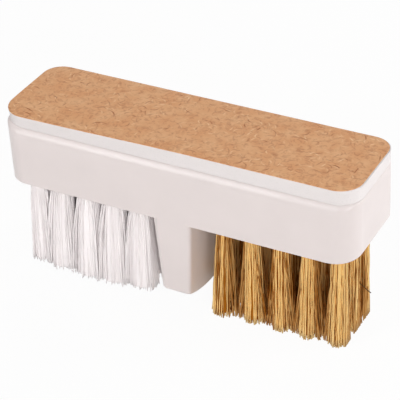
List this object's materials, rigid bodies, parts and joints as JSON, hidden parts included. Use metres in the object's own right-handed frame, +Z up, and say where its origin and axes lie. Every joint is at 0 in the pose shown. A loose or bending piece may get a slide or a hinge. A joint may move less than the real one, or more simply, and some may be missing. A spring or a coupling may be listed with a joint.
{
  "type": "cleaning brush",
  "caption": "Small cleaning brush: white moulded block with nylon and brass wire tufts, parted by a moulded tongue, under a sticky foam pad with a brown paper liner.",
  "frame": {"origin": "on the surface that the bristle tips stand on, under the centre of the block", "axes": "+X along the block towards the brass half, +Y across the block to its back, +Z up from the bristle tips to the paper liner"},
  "size_m": [0.1, 0.028, 0.0503],
  "materials": {
    "moulded_plastic": "satin",
    "foam": "matte",
    "kraft_paper": "matte",
    "nylon_filament": "satin",
    "brass_wire": "satin",
    "anchor_wire": "satin"
  },
  "bodies": {
    "root": {"handle_block": "moulded_plastic", "foam_pad": "foam", "paper_liner": "kraft_paper", "nylon_anchors": "anchor_wire", "brass_anchors": "anchor_wire", "nylon_tuft_front_1": "nylon_filament", "nylon_tuft_front_2": "nylon_filament", "nylon_tuft_front_3": "nylon_filament", "nylon_tuft_front_4": "nylon_filament", "nylon_tuft_front_5": "nylon_filament", "nylon_tuft_middle_1": "nylon_filament", "nylon_tuft_middle_2": "nylon_filament", "nylon_tuft_middle_3": "nylon_filament", "nylon_tuft_middle_4": "nylon_filament", "nylon_tuft_middle_5": "nylon_filament", "nylon_tuft_back_1": "nylon_filament", "nylon_tuft_back_2": "nylon_filament", "nylon_tuft_back_3": "nylon_filament", "nylon_tuft_back_4": "nylon_filament", "nylon_tuft_back_5": "nylon_filament", "brass_tuft_front_1": "brass_wire", "brass_tuft_front_2": "brass_wire", "brass_tuft_front_3": "brass_wire", "brass_tuft_front_4": "brass_wire", "brass_tuft_front_5": "brass_wire", "brass_tuft_middle_1": "brass_wire", "brass_tuft_middle_2": "brass_wire", "brass_tuft_middle_3": "brass_wire", "brass_tuft_middle_4": "brass_wire", "brass_tuft_middle_5": "brass_wire", "brass_tuft_back_1": "brass_wire", "brass_tuft_back_2": "brass_wire", "brass_tuft_back_3": "brass_wire", "brass_tuft_back_4": "brass_wire", "brass_tuft_back_5": "brass_wire"}
  },
  "joints": []
}
